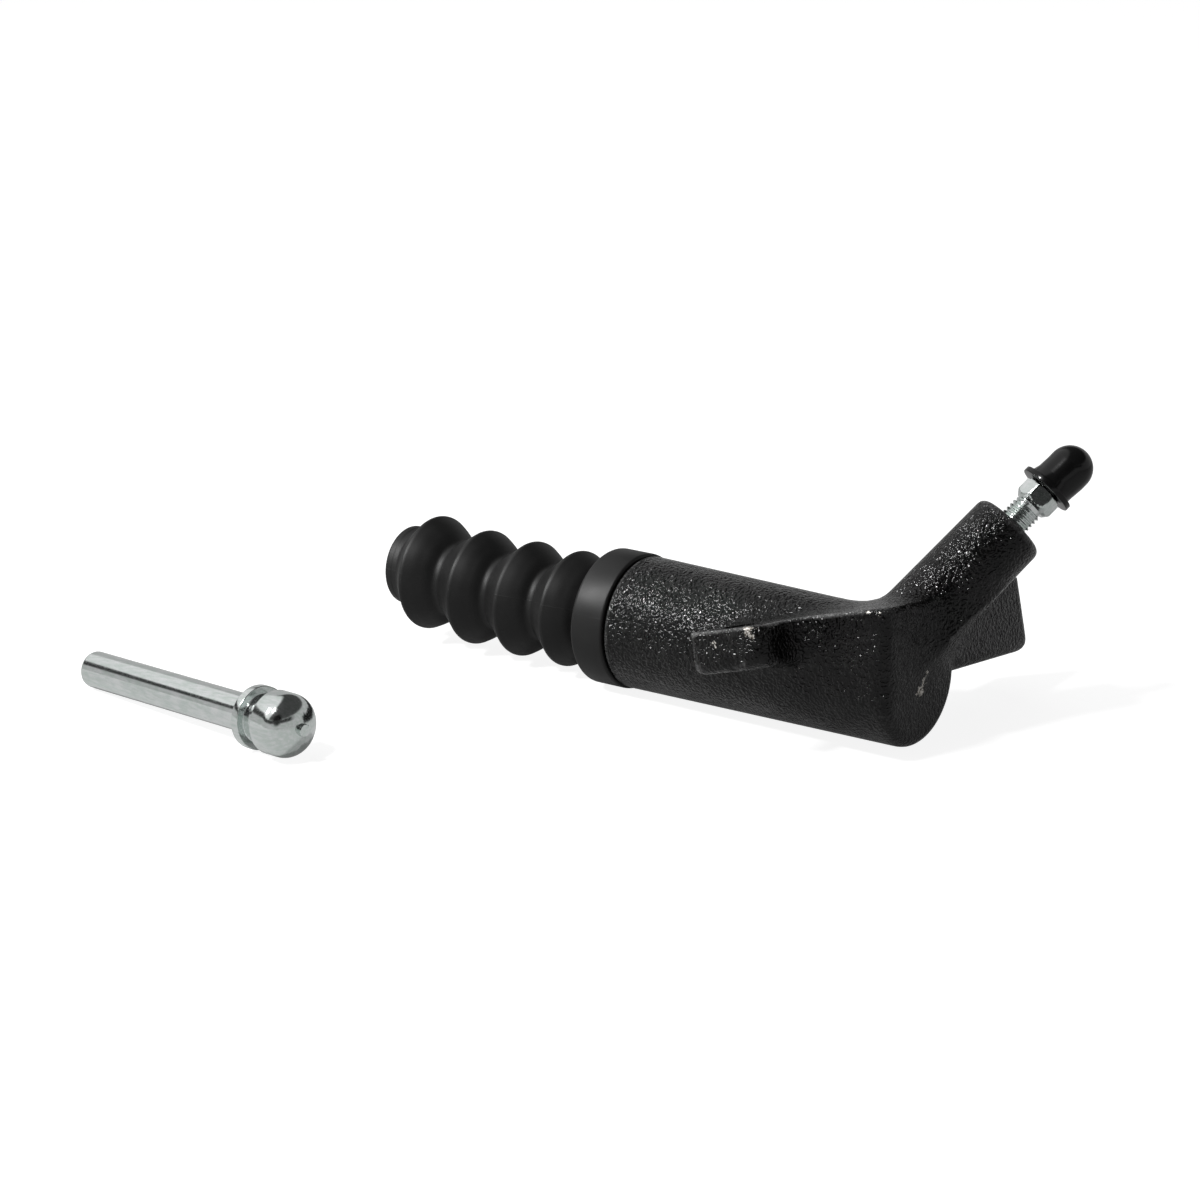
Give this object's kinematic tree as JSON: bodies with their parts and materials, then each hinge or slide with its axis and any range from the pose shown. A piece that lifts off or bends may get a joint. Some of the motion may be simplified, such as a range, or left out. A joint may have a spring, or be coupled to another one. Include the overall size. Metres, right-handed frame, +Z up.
{
  "type": "clutch slave cylinder",
  "caption": "Clutch slave cylinder with a cast body, sloping mounting lugs, an angled bleeder boss, a folded rubber boot and a loose push rod.",
  "frame": {"origin": "a point on the sloping mounting face over the closed end", "axes": "+X along the bore's axis out of the closed end, Z up, the front lug towards -Y and the rear arm towards +Y"},
  "size_m": [0.1888, 0.1422, 0.0614],
  "materials": {
    "body_paint": "black wrinkle paint",
    "boot_rubber": "satin black",
    "cap_rubber": "glossy black",
    "seal_rubber": "plain black",
    "zinc_steel": "bright zinc plate",
    "rod_steel": "bright zinc plate",
    "piston_aluminium": "turned",
    "spring_steel": "drawn wire",
    "ring_steel": "phosphated",
    "seat_brass": "pressed"
  },
  "bodies": {
    "cylinder": {"cylinder_body": "body_paint", "dust_boot": "boot_rubber", "snap_ring": "ring_steel", "push_rod": "rod_steel"},
    "piston_group": {"piston": "piston_aluminium", "piston_seal": "seal_rubber", "piston_cup": "seal_rubber", "spring_seat": "seat_brass", "return_spring": "spring_steel"},
    "bleeder": {"bleeder_screw": "zinc_steel", "bleeder_cap": "cap_rubber"}
  },
  "joints": [
    {"name": "piston_slide", "type": "slide", "parent": "cylinder", "child": "piston_group", "axis": [1, 0, 0], "range_m": [0, 0.016], "stiffness_N_per_m": 1200, "springref_m": -0.005, "deforming": ["return_spring"]},
    {"name": "bleeder_turn", "type": "hinge", "parent": "cylinder", "child": "bleeder", "pos_m": [0.01043, 0.03851, 0.01466], "axis": [0.4016, 0.6302, 0.6644], "range_deg": [0, 180]}
  ]
}
